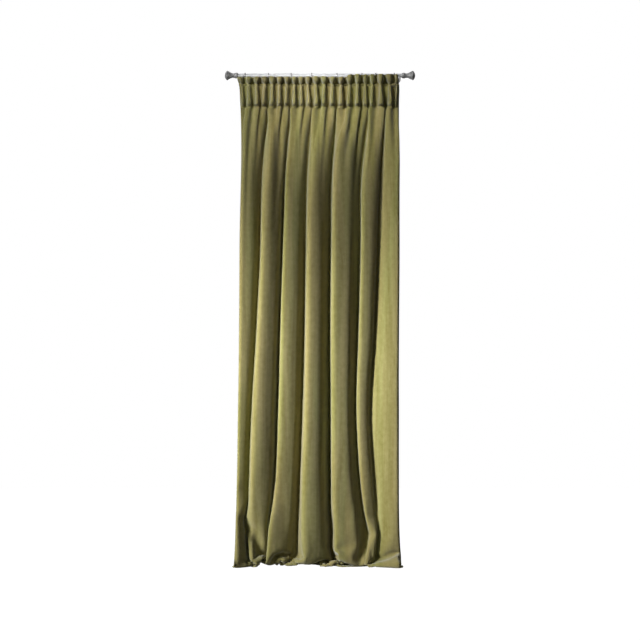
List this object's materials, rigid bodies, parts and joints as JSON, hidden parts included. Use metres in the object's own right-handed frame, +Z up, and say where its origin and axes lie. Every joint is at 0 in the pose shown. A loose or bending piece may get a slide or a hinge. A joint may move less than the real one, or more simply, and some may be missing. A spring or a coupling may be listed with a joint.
{
  "type": "curtain panel on rod",
  "caption": "Gathered velvet curtain with pencil-pleat heading, hung by hooks and rings from a slim metal rod with trumpet finials and wall brackets; its hem rests on the floor.",
  "frame": {"origin": "on the wall plane, at the height of the rod's axis and midway between the two wall brackets", "axes": "+X along the rod, +Y into the wall (the curtain's face looks along -Y), +Z up"},
  "size_m": [0.93, 0.25, 2.425],
  "materials": {
    "velvet": "cut-pile velvet, olive green",
    "tape": "woven heading tape",
    "cord": "braided cord",
    "rod_steel": "bright satin",
    "satin_nickel": "satin nickel plate",
    "dark_steel": "blackened",
    "ring_wire": "satin nickel plate, darker",
    "hook_wire": "zinc plate"
  },
  "bodies": {
    "rod_set": {"rod_tube": "rod_steel", "left_wall_plate": "satin_nickel", "left_bracket_arm": "satin_nickel", "right_wall_plate": "satin_nickel", "right_bracket_arm": "satin_nickel", "ring_1": "ring_wire", "hook_1": "hook_wire", "velvet_panel": "velvet", "heading_tape": "tape", "top_gathering_cord": "cord", "middle_gathering_cord": "cord", "bottom_gathering_cord": "cord"},
    "runner_2": {"ring_2": "ring_wire", "hook_2": "hook_wire"},
    "runner_3": {"ring_3": "ring_wire", "hook_3": "hook_wire"},
    "runner_4": {"ring_4": "ring_wire", "hook_4": "hook_wire"},
    "runner_5": {"ring_5": "ring_wire", "hook_5": "hook_wire"},
    "runner_6": {"ring_6": "ring_wire", "hook_6": "hook_wire"},
    "runner_7": {"ring_7": "ring_wire", "hook_7": "hook_wire"},
    "runner_8": {"ring_8": "ring_wire", "hook_8": "hook_wire"},
    "left_finial": {"left_finial_collar": "satin_nickel", "left_finial_bell": "satin_nickel", "left_finial_cap": "satin_nickel", "left_finial_grub_screw": "dark_steel"},
    "left_lock": {"left_lock_screw": "satin_nickel"},
    "right_finial": {"right_finial_collar": "satin_nickel", "right_finial_bell": "satin_nickel", "right_finial_cap": "satin_nickel", "right_finial_grub_screw": "dark_steel"},
    "right_lock": {"right_lock_screw": "satin_nickel"}
  },
  "joints": [
    {"name": "draw", "type": "slide", "parent": "rod_set", "child": "runner_8", "axis": [-1, 0, 0], "range_m": [0, 0.423], "deforming": ["velvet_panel", "heading_tape", "top_gathering_cord", "middle_gathering_cord", "bottom_gathering_cord"]},
    {"name": "runner_2_slide", "type": "slide", "parent": "rod_set", "child": "runner_2", "axis": [-1, 0, 0], "range_m": [0, 0.0677]},
    {"name": "runner_3_slide", "type": "slide", "parent": "rod_set", "child": "runner_3", "axis": [-1, 0, 0], "range_m": [0, 0.1312]},
    {"name": "runner_4_slide", "type": "slide", "parent": "rod_set", "child": "runner_4", "axis": [-1, 0, 0], "range_m": [0, 0.1897]},
    {"name": "runner_5_slide", "type": "slide", "parent": "rod_set", "child": "runner_5", "axis": [-1, 0, 0], "range_m": [0, 0.2614]},
    {"name": "runner_6_slide", "type": "slide", "parent": "rod_set", "child": "runner_6", "axis": [-1, 0, 0], "range_m": [0, 0.3321]},
    {"name": "runner_7_slide", "type": "slide", "parent": "rod_set", "child": "runner_7", "axis": [-1, 0, 0], "range_m": [0, 0.3715]},
    {"name": "left_finial_pull", "type": "slide", "parent": "rod_set", "child": "left_finial", "axis": [-1, 0, 0], "range_m": [0, 0.03]},
    {"name": "left_lock_turn", "type": "hinge", "parent": "rod_set", "child": "left_lock", "pos_m": [-0.375, -0.12, -0.018], "axis": [0, 0, 1], "range_deg": [0, 360]},
    {"name": "right_finial_pull", "type": "slide", "parent": "rod_set", "child": "right_finial", "axis": [1, 0, 0], "range_m": [0, 0.03]},
    {"name": "right_lock_turn", "type": "hinge", "parent": "rod_set", "child": "right_lock", "pos_m": [0.375, -0.12, -0.018], "axis": [0, 0, 1], "range_deg": [0, 360]}
  ],
  "couplings": [
    {"joint": "runner_2_slide", "follows": "draw", "ratio": 0.15764},
    {"joint": "runner_3_slide", "follows": "draw", "ratio": 0.30774},
    {"joint": "runner_4_slide", "follows": "draw", "ratio": 0.4462},
    {"joint": "runner_5_slide", "follows": "draw", "ratio": 0.61549},
    {"joint": "runner_6_slide", "follows": "draw", "ratio": 0.78273},
    {"joint": "runner_7_slide", "follows": "draw", "ratio": 0.87594}
  ]
}
